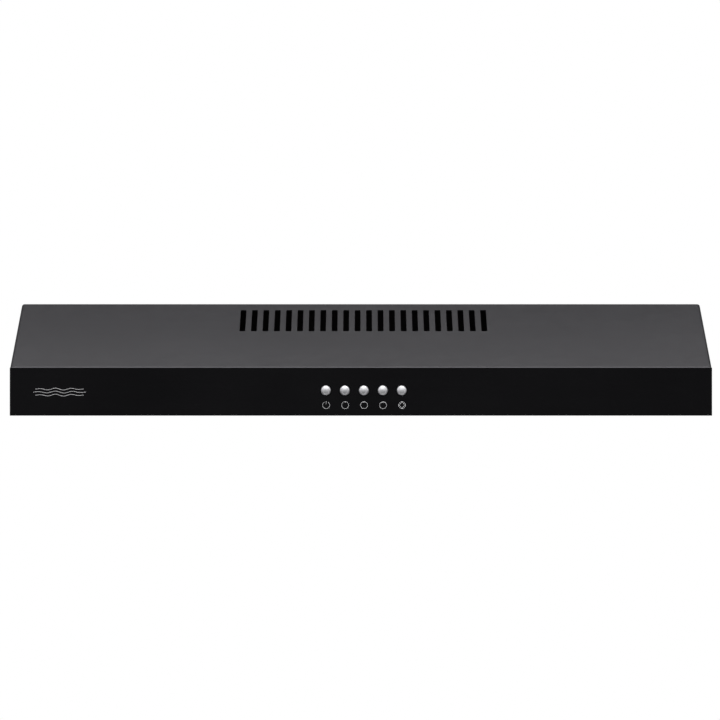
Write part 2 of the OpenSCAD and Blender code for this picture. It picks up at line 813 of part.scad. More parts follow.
module fan_shaft() {
    color([0.8, 0.8, 0.82]) union() {
        rod_z(-68, -9, fan_x, fan_y, shaft_r);
        rod_z(-71, -68, fan_x, fan_y, 7);
    }
}

module rotor() {
    color([0.6, 0.6, 0.62]) translate([fan_x, fan_y, 0]) difference() {
        union() {
            rod_z(stack_low_z, stack_top_z, 0, 0, rotor_r);
            for (z = [stack_low_z - 2, stack_top_z]) rod_z(z, z + 2, 0, 0, rotor_r - 2);
        }
        rod_z(-60, 0, 0, 0, shaft_r);
    }
}

stator_slot_n = 12;

module stator_slots(grow) {
    for (i = [0:stator_slot_n - 1]) rotate(i * 360 / stator_slot_n)
        translate([rotor_r + 3 - grow, -3 - grow]) square([11 + 2 * grow, 6 + 2 * grow]);
}

module motor_stator() {
    color([0.5, 0.5, 0.52]) translate([fan_x, fan_y, stack_low_z]) linear_extrude(stack_top_z - stack_low_z)
        difference() {
            circle(stator_r);
            circle(rotor_r + 0.5);
            stator_slots(0);
        }
}

module motor_coils() {
    color([0.75, 0.4, 0.2]) translate([fan_x, fan_y, 0]) union() {
        translate([0, 0, stack_low_z - 1]) linear_extrude(stack_top_z - stack_low_z + 2) stator_slots(-0.2);
        for (z = [stack_low_z - 3.8, stack_top_z + 3.8]) translate([0, 0, z]) rotate_extrude()
            translate([rotor_r + 8.5, 0]) scale([1, 0.5]) circle(6.6);
    }
}

module motor_upper_shield() {
    color([0.72, 0.73, 0.75]) translate([fan_x, fan_y, 0]) difference() {
        union() {
            rod_z(stack_top_z, arm_z + 2, 0, 0, stator_r);
            for (a = [0:120:240]) rotate([0, 0, a]) {
                block([stator_r - 6, -7, arm_z], [arm_r, 7, arm_z + 2]);
                rod_z(arm_z, arm_z + 2, arm_r, 0, 7);
            }
        }
        rod_z(stack_top_z - cut, arm_z, 0, 0, stator_r - 3);
        rod_z(arm_z - cut, arm_z + 3, 0, 0, 8);
        for (a = [30:60:330]) rotate([0, 0, a]) rod_z(arm_z - cut, arm_z + 3, 26, 0, 7);
        for (a = [0:120:240]) rotate([0, 0, a]) rod_z(arm_z - cut, arm_z + 3, arm_r, 0, 2);
    }
}

module motor_lower_shield() {
    low = -57;
    color([0.72, 0.73, 0.75]) translate([fan_x, fan_y, 0]) difference() {
        rod_z(low, stack_low_z, 0, 0, stator_r);
        rod_z(low + 2, stack_low_z + cut, 0, 0, stator_r - 3);
        rod_z(low - cut, low + 3, 0, 0, 8);
        for (a = [30:60:330]) rotate([0, 0, a]) rod_z(low - cut, low + 3, 26, 0, 7);
    }
}

module motor_bearings() {
    color([0.6, 0.5, 0.3]) translate([fan_x, fan_y, 0]) for (z = [-57, -13]) difference() {
        rod_z(z, z + 5, 0, 0, 8);
        rod_z(z - cut, z + 6, 0, 0, shaft_r + 0.05);
    }
}

module motor_bushes() {
    color([0.12, 0.12, 0.12]) for (a = [0:120:240])
        translate([fan_x + arm_r * cos(a), fan_y + arm_r * sin(a), 0]) difference() {
            rod_z(bush_z, arm_z, 0, 0, 6.5);
            rod_z(bush_z - cut, arm_z + cut, 0, 0, 2.2);
        }
}

module motor_screws() {
    color([0.75, 0.75, 0.75]) for (a = [0:120:240])
        translate([fan_x + arm_r * cos(a), fan_y + arm_r * sin(a), arm_z + 2]) screw(13, shank_r = 1.5);
}

// ---- Electrics ----

module junction_box() {
    top_z = -sheet - gap;
    x = junction_w / 2;
    y = junction_l / 2;
    low_z = top_z - junction_h;
    color([0.12, 0.12, 0.12]) translate([junction_x, junction_y, 0]) difference() {
        union() {
            difference() {
                block([-x, -y, low_z], [x, y, top_z]);
                block([-x + wall, -y + wall, low_z - cut], [x - wall, y - wall, top_z - wall]);
            }
            for (side = [-1, 1]) rod_z(low_z, top_z - 1, side * 28, -side * 18, 4);
            for (side = [-1, 1]) rod_z(top_z - 10, top_z - 1, side * 28, side * 18, 4);
        }
        for (side = [-1, 1]) rod_z(low_z - cut, top_z - 12, side * 28, -side * 18, 1.6);
        for (side = [-1, 1]) rod_z(top_z - 11, top_z + cut, side * 28, side * 18, 1.6);
        rod_y(y - 3, y + cut, 0, grommet_z, 4.5);
        rod_y(-y - cut, -y + 3, switch_lead_x - junction_x, lead_z, 2.9);
        for (side = [-1, 1]) rod_y(-y - cut, -y + 3, side * 5, capacitor_z, 1.5);
        rod_x(-x - cut, -x + 3, 12, lead_z, 2.9);
    }
}

module junction_cover() {
    z = -sheet - gap - junction_h - gap;
    color([0.12, 0.12, 0.12]) translate([junction_x, junction_y, 0]) difference() {
        block([-junction_w / 2, -junction_l / 2, z - 2], [junction_w / 2, junction_l / 2, z]);
        for (side = [-1, 1]) rod_z(z - 3, z + 1, side * 28, -side * 18, 1.8);
    }
}

module terminal_block() {
    z0 = -sheet - gap - wall;
    color([0.93, 0.93, 0.9]) translate([junction_x, junction_y - 4, 0]) for (i = [-1:1]) difference() {
        block([i * 11 - 5.5, -11, z0 - 16], [i * 11 + 5.5, 11, z0]);
        for (y = [-6, 6]) rod_z(z0 - 17, z0 - 8, i * 11, y, 2.6);
        rod_y(-12, 12, i * 11, z0 - 9, 1.8);
    }
}

module capacitor() {
    y = capacitor_y1;
    color([0.9, 0.9, 0.92]) union() {
        rod_y(capacitor_y0, y, junction_x, capacitor_z, capacitor_r);
        rod_y(y - 0.1, y + 2, junction_x, capacitor_z, capacitor_r - 2);
        for (side = [-1, 1]) translate([junction_x + side * 5, 0, capacitor_z])
            block([-0.4, y + 1, -3], [0.4, y + tag_l, 3]);
    }
}

module capacitor_clip() {
    r = capacitor_r + 0.1;
    top_z = -sheet - gap;
    color([0.7, 0.7, 0.72]) translate([junction_x, capacitor_clip_y - 6, 0]) difference() {
        union() {
            rod_y(0, 12, 0, capacitor_z, r + 1);
            block([-r - 1, 0, capacitor_z], [r + 1, 12, top_z]);
            block([-r - 12, 0, top_z - 1], [r + 12, 12, top_z]);
        }
        rod_y(-cut, 13, 0, capacitor_z, r);
        block([-r, -cut, capacitor_z], [r, 13, top_z - 1.2]);
        for (side = [-1, 1]) rod_z(top_z - 2, top_z + cut, side * 21.5, 6, 1.6);
    }
}

module cable_grommet() {
    y = rear_y;
    color([0.08, 0.08, 0.08]) difference() {
        union() {
            rod_y(y - 6, y + 2, junction_x, grommet_z, grommet_r + 2.4);
            rod_y(y, y + 2, junction_x, grommet_z, grommet_r + 4.5);
            rod_y(y - 6, y - sheet - gap, junction_x, grommet_z, grommet_r + 4.5);
        }
        rod_y(y - 7, y + 3, junction_x, grommet_z, grommet_r);
    }
}

// ---- Leads ----

// Where each lead leaves the junction box, and how far below the top it lies
lead_z = -12;
lead_r = 2.6;
switch_lead_x = 195;

// Routes of the leads, from one fitting to the other
junction_front_y = junction_y - junction_l / 2;
terminal_end_y = switch_rear_y + 7.5;
switch_route = [
    [switch_lead_x, junction_front_y + 5, lead_z], [switch_lead_x - 1, 75, lead_z],
    [185, 40, lead_z], [180, -20, lead_z], [172, -90, lead_z], [158, -150, -14],
    [140, -200, -30], [110, -238, -52], [70, -248, -69], [46, -252, -75],
    [panel_shift + 36, -259, button_z], [panel_shift + 36, terminal_end_y + 0.3, button_z]];
lamp_route = [
    [panel_shift - 36, terminal_end_y + 1, button_z], [-35, -265.5, button_z],
    [-48, -265, -75], [-70, -265, -74], [-80, -257, -71], [-80, -246, lamp_z],
    [-75, lamp_y, lamp_z], [holder_x0 - 0.1, lamp_y, lamp_z]];
motor_route = [
    [junction_x - junction_w / 2 + 5, junction_y + 12, lead_z], [165, 126, lead_z],
    [140, 137, lead_z], [90, 141, lead_z], [0, 141, lead_z], [-70, 139, lead_z],
    [-118, 121, -13], [-140, 101, -14], [fan_x + 22.6, fan_y + 39.1, -14]];

// Smooth curve through the points, with n steps from point to point
function curve(p, n) = concat([for (i = [0:len(p) - 2], k = [0:n - 1])
    let (a = p[max(i - 1, 0)], b = p[i], c = p[i + 1], d = p[min(i + 2, len(p) - 1)], t = k / n)
    0.5 * (2 * b + (c - a) * t + (2 * a - 5 * b + 4 * c - d) * t * t
        + (3 * b - a - 3 * c + d) * t * t * t)],
    [p[len(p) - 1]]);

// Tube of eight sides along a route that is nowhere upright
module tube(route, r, n = 4) {
    path = curve(route, n);
    last = len(path) - 1;
    sides = 8;
    rings = [for (i = [0:last])
        let (along = path[min(i + 1, last)] - path[max(i - 1, 0)],
            across = cross(along, [0, 0, 1]) / norm(cross(along, [0, 0, 1])),
            up = cross(across, along) / norm(along))
        for (k = [0:sides - 1]) path[i] + r * (cos(k * 360 / sides) * across + sin(k * 360 / sides) * up)];
    walls = [for (i = [0:last - 1], k = [0:sides - 1]) let (next = (k + 1) % sides)
        [i * sides + k, i * sides + next, (i + 1) * sides + next, (i + 1) * sides + k]];
    near_end = [for (k = [sides - 1:-1:0]) k];
    far_end = [for (k = [0:sides - 1]) last * sides + k];
    polyhedron(rings, concat([near_end], walls, [far_end]));
}

module switch_lead() {
    color([0.15, 0.15, 0.16]) tube(switch_route, lead_r);
}

module lamp_lead() {
    color([0.15, 0.15, 0.16]) tube(lamp_route, 2);
}

// The motor's sleeved lead, and the two short wires of its capacitor
module motor_leads() {
    color([0.15, 0.15, 0.16]) {
        tube(motor_route, lead_r);
        for (side = [-1, 1]) let (x = junction_x + side * 5)
            tube([[x, junction_front_y + 4, capacitor_z],
                [x, capacitor_y1 + tag_l + 0.1, capacitor_z]], 1.2, 2);
    }
}

// ---- Fasteners ----

module frame_screws() {
    color([0.3, 0.3, 0.3]) frame_screw_places()
        translate([0, 0, flange_z]) rotate([180, 0, 0]) screw(7, head_h = 1.15);
}

// Screws whose heads lie flush in the top
module top_screws() {
    color([0.75, 0.75, 0.75]) for (p = top_screw_xys) translate([p.x, p.y, 0]) difference() {
        union() {
            translate([0, 0, -sheet]) cylinder(h = sheet - 0.05, r1 = 1.7, r2 = 3.15);
            translate([0, 0, -9]) cylinder(h = 9 - sheet + 0.01, r = 1.5);
        }
        for (a = [0, 90]) rotate([0, 0, a]) translate([-1.8, -0.35, -0.55]) cube([3.6, 0.7, 1]);
    }
}

// Screws of the scroll's halves and of the junction box's cover
module pan_screws() {
    color([0.75, 0.75, 0.75]) {
        for (t = lug_turns) translate([scroll_point(t, lug_out).x, scroll_point(t, lug_out).y,
            scroll_split_z - 6])
            rotate([180, 0, 0]) screw(10, shank_r = 1.5);
        for (side = [-1, 1]) translate([junction_x + side * 28, junction_y - side * 18,
            -sheet - 2 * gap - junction_h - 2]) rotate([180, 0, 0]) screw(10, shank_r = 1.5);
    }
}

module fascia_nuts() {
    color([0.75, 0.75, 0.75]) for (x = stud_xs) difference() {
        translate([x, lip_y + sheet, stud_z]) rotate([-90, 0, 0]) cylinder(h = 3.2, r = 4, $fn = 6);
        rod_y(lip_y, lip_y + 8, x, stud_z, stud_r + 0.02);
    }
}

canopy();
rear_panel();
fascia();
bottom_frame();
button(button_xs[0]);  // button_off
button(button_xs[1]);  // button_speed_1
button(button_xs[2]);  // button_speed_2
button(button_xs[3]);  // button_speed_3
button(button_xs[4]);  // button_light
switch_block();
switch_plate();
switch_terminals();
lamp_lens();
lamp_bracket();
lamp_holder();
lamp_bulb();
lamp_cap();
filter_frame(-1);  // filter_frame_left
filter_mesh(-1);  // filter_mesh_left
latch_bezel(-1);  // latch_bezel_left
latch_slider(-1);  // latch_slider_left
filter_frame(1);  // filter_frame_right
filter_mesh(1);  // filter_mesh_right
latch_bezel(1);  // latch_bezel_right
latch_slider(1);  // latch_slider_right
air_box();
air_chute();
outlet_socket();
damper_rod();
damper_flap(-1, front_knuckles, rear_knuckles);  // damper_flap_front
damper_flap(1, rear_knuckles, front_knuckles);  // damper_flap_rear
mode_flap();
mode_lever();
scroll_upper();
scroll_lower();
inlet_guard();
impeller();
fan_shaft();
rotor();
motor_stator();
motor_coils();
motor_upper_shield();
motor_lower_shield();
motor_bearings();
motor_bushes();
capacitor();
capacitor_clip();
junction_box();
junction_cover();
terminal_block();
cable_grommet();
switch_lead();
lamp_lead();
motor_leads();
frame_screws();
top_screws();
pan_screws();
motor_screws();
switch_screws();
fascia_nuts();
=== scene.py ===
import math

import bpy
import numpy as np
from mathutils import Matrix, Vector


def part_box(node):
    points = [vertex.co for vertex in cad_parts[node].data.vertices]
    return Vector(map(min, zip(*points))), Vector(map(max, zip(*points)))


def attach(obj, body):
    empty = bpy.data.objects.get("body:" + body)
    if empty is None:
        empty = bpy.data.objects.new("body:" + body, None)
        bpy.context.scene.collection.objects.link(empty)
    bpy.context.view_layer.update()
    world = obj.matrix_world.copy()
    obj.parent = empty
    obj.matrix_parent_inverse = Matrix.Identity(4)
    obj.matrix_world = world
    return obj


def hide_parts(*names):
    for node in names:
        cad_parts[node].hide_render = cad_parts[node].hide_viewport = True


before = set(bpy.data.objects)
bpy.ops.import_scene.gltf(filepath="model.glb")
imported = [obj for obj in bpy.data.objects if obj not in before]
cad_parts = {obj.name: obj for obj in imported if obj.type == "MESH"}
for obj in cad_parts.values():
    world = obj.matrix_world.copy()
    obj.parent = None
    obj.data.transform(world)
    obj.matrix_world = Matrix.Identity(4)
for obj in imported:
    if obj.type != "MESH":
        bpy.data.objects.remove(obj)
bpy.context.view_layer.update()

MM = 0.001

# ---- Places taken from the CAD model ----

fascia_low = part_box("fascia")[0]
FRONT_Y = fascia_low.y
RIM_Z = fascia_low.z
BUTTONS = ["button_off", "button_speed_1", "button_speed_2", "button_speed_3", "button_light"]


def middle(node):
    """Centre of a CAD node's box."""
    low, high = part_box(node)
    return (low + high) / 2


# ---- Camera, world, lights and floor ----

def set_camera():
    """A long lens in front of the hood, level with the middle of its height."""
    lens = bpy.data.cameras.new("camera")
    lens.lens = 228.25
    lens.sensor_width = 36
    lens.clip_start = 0.1
    lens.clip_end = 60
    camera = bpy.data.objects.new("camera", lens)
    camera.location = (-0.00078, -4.21, -0.0494)
    camera.rotation_euler = (math.radians(90), 0, 0)
    bpy.context.scene.collection.objects.link(camera)
    bpy.context.scene.camera = camera


class Tree:
    """Short ways to add nodes and links to one node tree."""

    def __init__(self, tree):
        self.tree = tree
        self.tree.nodes.clear()

    def add(self, kind, sockets=None, **settings):
        made = self.tree.nodes.new(kind)
        for key, value in settings.items():
            setattr(made, key, value)
        for key, value in (sockets or {}).items():
            self.feed(made.inputs[key], value)
        return made

    def feed(self, socket, value):
        if isinstance(value, bpy.types.NodeSocket):
            self.tree.links.new(value, socket)
        else:
            socket.default_value = value

    def maths(self, operation, a, b=0.0):
        return self.add("ShaderNodeMath", {0: a, 1: b}, operation=operation).outputs[0]

    def scaled(self, value, factor, offset):
        """The value times the factor, plus the offset."""
        made = self.add("ShaderNodeMath", {0: value, 1: factor, 2: offset}, operation="MULTIPLY_ADD")
        return made.outputs[0]

    def spread(self, value, low, high, to_low, to_high):
        """Maps low..high smoothly to to_low..to_high."""
        made = self.add("ShaderNodeMapRange", {0: value, 1: low, 2: high, 3: to_low, 4: to_high},
                        interpolation_type="SMOOTHSTEP")
        return made.outputs[0]

    def noise(self, where, scale, detail, **sockets):
        """The values of a cloudy noise over the places that it is given."""
        sockets.update({"Vector": where, "Scale": scale, "Detail": detail})
        return self.add("ShaderNodeTexNoise", sockets).outputs["Fac"]

    def blend(self, factor, a, b):
        """Colour a where the factor is 0, colour b where it is 1."""
        made = self.add("ShaderNodeMix", data_type="RGBA")
        self.feed(made.inputs[0], factor)
        self.feed(made.inputs[6], a)
        self.feed(made.inputs[7], b)
        return made.outputs[2]


def set_world():
    """White to the camera. To everything else it is a studio: bright overhead and at the sides, dim
    low down in front, and dark straight behind."""
    world = bpy.data.worlds.new("studio")
    bpy.context.scene.world = world
    world.use_nodes = True
    t = Tree(world.node_tree)
    where = t.add("ShaderNodeTexCoord").outputs["Generated"]
    axes = t.add("ShaderNodeSeparateXYZ", {0: where})
    forward = t.maths("MULTIPLY", axes.outputs["Y"], -1.0)
    height = axes.outputs["Z"]
    rise = t.spread(height, 0.0, 0.7, 0.70, 1.1)
    ahead = t.spread(forward, 0.2, 0.95, 0.0, 1.0)
    low_down = t.spread(height, 0.0, 0.36, 1.0, 0.0)
    dim = t.scaled(t.maths("MULTIPLY", ahead, low_down), -0.82, 1.0)
    behind = t.spread(forward, -0.84, -0.3, 0.02, 1.0)
    glow = t.maths("MULTIPLY", t.maths("MULTIPLY", rise, dim), behind)
    seen = t.add("ShaderNodeLightPath").outputs["Is Camera Ray"]
    lit = t.add("ShaderNodeBackground", {"Color": (0.98, 0.975, 1.0, 1.0), "Strength": glow})
    white = t.add("ShaderNodeBackground", {"Color": (1.0, 1.0, 1.0, 1.0), "Strength": 1.0})
    both = t.add("ShaderNodeMixShader", {0: seen, 1: lit.outputs[0], 2: white.outputs[0]})
    t.add("ShaderNodeOutputWorld", {"Surface": both.outputs[0]})


def soft_box(name, place, aim, width, depth, power):
    """A rectangular area light at a place, turned to shine at a point."""
    light = bpy.data.lights.new(name, "AREA")
    light.shape = "RECTANGLE"
    light.size = width
    light.size_y = depth
    light.energy = power
    lamp = bpy.data.objects.new(name, light)
    lamp.visible_camera = False
    lamp.location = place
    lamp.rotation_euler = (Vector(aim) - Vector(place)).to_track_quat("-Z", "Y").to_euler()
    bpy.context.scene.collection.objects.link(lamp)


def set_floor():
    """A pale round floor well below the hood. Its colour holds a painted shade: it is painted far darker
    in front of the hood than under it, to darken what the hood reflects from low down. It is clear when
    it is looked at from below."""
    turns = 96
    floor_r = 12
    floor_z = -1.5
    angles = np.linspace(0, 2 * np.pi, turns, endpoint=False)
    rim = np.stack([floor_r * np.cos(angles), floor_r * np.sin(angles), np.full(turns, floor_z)], axis=1)
    mesh = bpy.data.meshes.new("floor")
    mesh.from_pydata(rim.tolist(), [], [list(range(turns))])
    floor = bpy.data.objects.new("floor", mesh)
    bpy.context.scene.collection.objects.link(floor)
    material = bpy.data.materials.new("floor_paper")
    material.use_nodes = True
    t = Tree(material.node_tree)
    grain = t.add("ShaderNodeTexNoise", {"Scale": 3.0, "Detail": 3.0})
    place = t.add("ShaderNodeSeparateXYZ", {0: t.add("ShaderNodeTexCoord").outputs["Object"]})
    # Painted shade: the floor's colour falls to nearly black in front of the hood, so that the hood's front
    # reflects a darker floor there.
    painted_shade_ramp = t.spread(place.outputs["Y"], -1.3, -0.3, 0.0, 1.0)
    shade = t.scaled(grain.outputs["Fac"], 0.1, t.maths("MULTIPLY", painted_shade_ramp, 0.42))
    tone = t.blend(shade, (0, 0, 0, 1), (1, 1, 1, 1))
    paper = t.add("ShaderNodeBsdfPrincipled", {"Base Color": tone, "Roughness": 0.9})
    shine = t.add("ShaderNodeEmission", {"Color": (1, 1, 1, 1), "Strength": 0.9})
    clear = t.add("ShaderNodeBsdfTransparent")
    seen = t.add("ShaderNodeLightPath").outputs["Is Camera Ray"]
    lit = t.add("ShaderNodeMixShader", {0: seen, 1: paper.outputs[0], 2: shine.outputs[0]})
    under = t.add("ShaderNodeNewGeometry").outputs["Backfacing"]
    both = t.add("ShaderNodeMixShader", {0: under, 1: lit.outputs[0], 2: clear.outputs[0]})
    t.add("ShaderNodeOutputMaterial", {"Surface": both.outputs[0]})
    mesh.materials.append(material)


# ---- Shared effects ----

def effect(name, inputs, outputs):
    """Starts a shader node group. Gives the group, its tree, and the sockets inside it to read
    and to feed."""
    group = bpy.data.node_groups.new(name, "ShaderNodeTree")
    t = Tree(group)
    for label, kind, value in inputs:
        made = group.interface.new_socket(label, in_out="INPUT", socket_type=kind)
        if value is not None:
            made.default_value = value
    for label, kind in outputs:
        group.interface.new_socket(label, in_out="OUTPUT", socket_type=kind)
    return group, t, t.add("NodeGroupInput").outputs, t.add("NodeGroupOutput").inputs


VALUE = "NodeSocketFloat"
COLOUR = "NodeSocketColor"
VECTOR = "NodeSocketVector"


def make_mottle():
    """Two shades of one colour that drift into each other in soft clouds with a finer fleck on them."""
    inputs = [("Vector", VECTOR, None), ("Scale", VALUE, 20.0), ("Shade", COLOUR, None),
              ("Second", COLOUR, None)]
    group, t, given, gives = effect("mottle", inputs, [("Color", COLOUR)])
    cloud = t.noise(given["Vector"], given["Scale"], 3.0)
    fleck = t.noise(given["Vector"], t.maths("MULTIPLY", given["Scale"], 14.0), 2.0)
    total = t.maths("ADD", cloud, t.scaled(fleck, 0.35, -0.17))
    second_share = t.spread(total, 0.3, 0.7, 0.0, 1.0)
    t.feed(gives["Color"], t.blend(second_share, given["Shade"], given["Second"]))
    return group


def make_rub():
    """Roughness that changes where hands and cloths have passed: broad soft patches and faint
    slanting wipes."""
    inputs = [("Vector", VECTOR, None), ("Scale", VALUE, 12.0), ("Low", VALUE, 0.3),
              ("High", VALUE, 0.4)]
    group, t, given, gives = effect("rub", inputs, [("Roughness", VALUE)])
    patch = t.noise(given["Vector"], given["Scale"], 4.0, Distortion=0.6)
    stretched = t.add("ShaderNodeMapping", {"Vector": given["Vector"], "Scale": (0.35, 3.0, 3.0),
                                            "Rotation": (0.0, 0.0, 0.5)})
    wipe = t.noise(stretched.outputs[0], t.maths("MULTIPLY", given["Scale"], 5.0), 2.0)
    both = t.maths("ADD", t.maths("MULTIPLY", patch, 0.7), t.maths("MULTIPLY", wipe, 0.3))
    made = t.add("ShaderNodeMapRange", {0: both, 1: 0.35, 2: 0.65, 3: given["Low"], 4: given["High"]})
    t.feed(gives["Roughness"], made.outputs[0])
    return group


def make_peel():
    """The gentle ripple of sprayed enamel, with a finer tooth on it."""
    inputs = [("Vector", VECTOR, None), ("Scale", VALUE, 400.0)]
    group, t, given, gives = effect("peel", inputs, [("Height", VALUE)])
    wave = t.noise(given["Vector"], given["Scale"], 1.0)
    tooth = t.noise(given["Vector"], t.maths("MULTIPLY", given["Scale"], 4.0), 1.0)
    t.feed(gives["Height"], t.maths("ADD", wave, t.maths("MULTIPLY", tooth, 0.2)))
    return group


def make_grain():
    """The spark-eroded grain of a moulded plastic: small pits of uneven size between low lands."""
    inputs = [("Vector", VECTOR, None), ("Scale", VALUE, 900.0)]
    group, t, given, gives = effect("grain", inputs, [("Height", VALUE)])
    pits = t.add("ShaderNodeTexVoronoi", {"Vector": given["Vector"], "Scale": given["Scale"]},
                 feature="SMOOTH_F1").outputs["Distance"]
    lands = t.noise(given["Vector"], given["Scale"], 3.0)
    t.feed(gives["Height"], t.maths("ADD", t.maths("MULTIPLY", pits, 0.6), lands))
    return group


def make_brush():
    """Fine drawn lines along one direction, as on rolled metal: noise squeezed across that direction."""
    inputs = [("Vector", VECTOR, None), ("Squeeze", VECTOR, (40.0, 1.0, 40.0)),
              ("Scale", VALUE, 60.0)]
    group, t, given, gives = effect("brush", inputs, [("Height", VALUE)])
    squeezed = t.add("ShaderNodeVectorMath", {0: given["Vector"], 1: given["Squeeze"]},
                     operation="MULTIPLY").outputs[0]
    t.feed(gives["Height"], t.noise(squeezed, given["Scale"], 4.0))
    return group


def make_spangle():
    """The crystal leaves of a zinc coating: flat cells, each with its own tone."""
    inputs = [("Vector", VECTOR, None), ("Scale", VALUE, 160.0), ("Shade", COLOUR, None),
              ("Second", COLOUR, None)]
    group, t, given, gives = effect("spangle", inputs, [("Color", COLOUR), ("Height", VALUE)])
    leaf = t.add("ShaderNodeTexVoronoi", {"Vector": given["Vector"], "Scale": given["Scale"]})
    tone = t.add("ShaderNodeSeparateColor", {0: leaf.outputs["Color"]}).outputs[0]
    t.feed(gives["Color"], t.blend(tone, given["Shade"], given["Second"]))
    t.feed(gives["Height"], tone)
    return group


def make_dust():
    """Fine dust that has settled on faces that look up: the upward part of the normal times a soft
    cloud."""
    inputs = [("Vector", VECTOR, None), ("Scale", VALUE, 30.0), ("Amount", VALUE, 0.1)]
    group, t, given, gives = effect("dust", inputs, [("Mask", VALUE)])
    normal = t.add("ShaderNodeTexCoord").outputs["Normal"]
    facing = t.add("ShaderNodeSeparateXYZ", {0: normal}).outputs["Z"]
    up = t.spread(facing, 0.3, 1.0, 0.0, 1.0)
    cloud = t.noise(given["Vector"], given["Scale"], 5.0)
    amount = t.maths("MULTIPLY", t.spread(cloud, 0.3, 0.75, 0.2, 1.0), given["Amount"])
    t.feed(gives["Mask"], t.maths("MULTIPLY", up, amount))
    return group


def make_scuff():
    """Thin scattered scratches: where a stretched noise crosses its middle value, broken up by
    another noise."""
    inputs = [("Vector", VECTOR, None), ("Scale", VALUE, 30.0), ("Turn", VECTOR, (0.0, 0.0, 0.6))]
    group, t, given, gives = effect("scuff", inputs, [("Mask", VALUE)])
    turned = t.add("ShaderNodeMapping", {"Vector": given["Vector"], "Rotation": given["Turn"],
                                         "Scale": (1.0, 12.0, 12.0)})
    line = t.noise(turned.outputs[0], given["Scale"], 0.0)
    near = t.maths("ABSOLUTE", t.maths("SUBTRACT", line, 0.5))
    thin = t.spread(near, 0.0, 0.012, 1.0, 0.0)
    gaps = t.noise(given["Vector"], given["Scale"], 1.0)
    t.feed(gives["Mask"], t.maths("MULTIPLY", thin, t.spread(gaps, 0.5, 0.62, 0.0, 1.0)))
    return group


EFFECTS = {
    "mottle": make_mottle(), "rub": make_rub(), "peel": make_peel(), "grain": make_grain(),
    "brush": make_brush(), "spangle": make_spangle(), "dust": make_dust(), "scuff": make_scuff()}


# ---- Materials ----

def grey(value, blue=1.0):
    """A grey as a colour, a little bluer where blue is above 1."""
    return (value, value, value * blue, 1.0)


OPAL = {"Shade": (0.90, 0.90, 0.87, 1), "Second": (0.95, 0.95, 0.93, 1)}


class Finish(Tree):
    """One material under way: its tree, the object's own coordinates and its shader."""

    def __init__(self, name, **sockets):
        self.material = bpy.data.materials.new(name)
        self.material.use_nodes = True
        super().__init__(self.material.node_tree)
        self.where = self.add("ShaderNodeTexCoord").outputs["Object"]
        self.shader = self.add("ShaderNodeBsdfPrincipled", sockets)
        self.add("ShaderNodeOutputMaterial", {"Surface": self.shader.outputs[0]})

    def use(self, name, **sockets):
        """Places a shared effect with its own values and returns its outputs."""
        made = self.add("ShaderNodeGroup", node_tree=EFFECTS[name])
        self.feed(made.inputs["Vector"], self.where)
        for key, value in sockets.items():
            self.feed(made.inputs[key], value)
        return made.outputs

    def colour(self, value):
        self.feed(self.shader.inputs["Base Color"], value)

    def rough(self, value):
        self.feed(self.shader.inputs["Roughness"], value)

    def relief(self, height, depth, strength=1.0):
        """Feeds a height to the normal. Depth is how many metres a height of 1 stands for."""
        bump = self.add("ShaderNodeBump", {"Height": height, "Distance": depth, "Strength": strength})
        self.feed(self.shader.inputs["Normal"], bump.outputs[0])


def canopy_paint():
    """Satin black enamel on the folded sheet, with a faint ripple, wiping marks and a little dust
    on top."""
    f = Finish("canopy_enamel",
               **{"Specular IOR Level": 0.5, "Specular Tint": (0.96, 0.93, 1.0, 1.0)})
    base = f.use("mottle", Scale=9.0, Shade=grey(0.0058, 1.10), Second=grey(0.0070, 1.12))["Color"]
    dust = f.use("dust", Scale=110.0, Amount=0.016)["Mask"]
    f.colour(f.blend(dust, base, grey(0.3)))
    wiped = f.use("rub", Scale=5.0, Low=0.33, High=0.36)["Roughness"]
    f.rough(f.maths("ADD", wiped, f.maths("MULTIPLY", dust, 1.2)))
    f.relief(f.use("peel", Scale=330.0)["Height"], 0.000022, 0.5)
    return f.material


def fascia_paint():
    """Gloss black enamel on the front panel, with faint wiping marks and a few fine scratches."""
    f = Finish("fascia_enamel",
               **{"Specular IOR Level": 0.33, "Specular Tint": (0.93, 0.91, 1.0, 1.0)})
    f.colour(f.use("mottle", Scale=12.0, Shade=grey(0.0026), Second=grey(0.0034))["Color"])
    wiped = f.use("rub", Scale=10.0, Low=0.16, High=0.22)["Roughness"]
    scratch = f.use("scuff", Scale=45.0)["Mask"]
    f.rough(f.maths("ADD", wiped, f.maths("MULTIPLY", scratch, 0.06)))
    f.relief(f.use("peel", Scale=260.0)["Height"], 0.00001, 0.35)
    return f.material


def silver_button():
    """Satin metallised buttons: fine level polishing lines, and a sheen that is a little uneven."""
    f = Finish("satin_silver", Metallic=1.0)
    f.colour(f.use("mottle", Scale=300.0, Shade=grey(0.91, 1.01), Second=grey(0.96, 1.01))["Color"])
    f.rough(f.use("rub", Scale=220.0, Low=0.44, High=0.50)["Roughness"])
    f.relief(f.use("brush", Squeeze=(1.0, 1.0, 24.0), Scale=260.0)["Height"], 0.000004, 0.4)
    return f.material


def moulded(name, shade, second, low, high, scale=900.0, depth=0.00003, **sockets):
    """A moulded plastic part: two close shades, uneven sheen and an eroded grain."""
    f = Finish(name, **sockets)
    base = f.use("mottle", Scale=25.0, Shade=shade, Second=second)["Color"]
    dust = f.use("dust", Scale=40.0, Amount=0.12)["Mask"]
    f.colour(f.blend(dust, base, grey(0.42)))
    f.rough(f.use("rub", Scale=24.0, Low=low, High=high)["Roughness"])
    f.relief(f.use("grain", Scale=scale)["Height"], depth, 0.5)
    return f.material


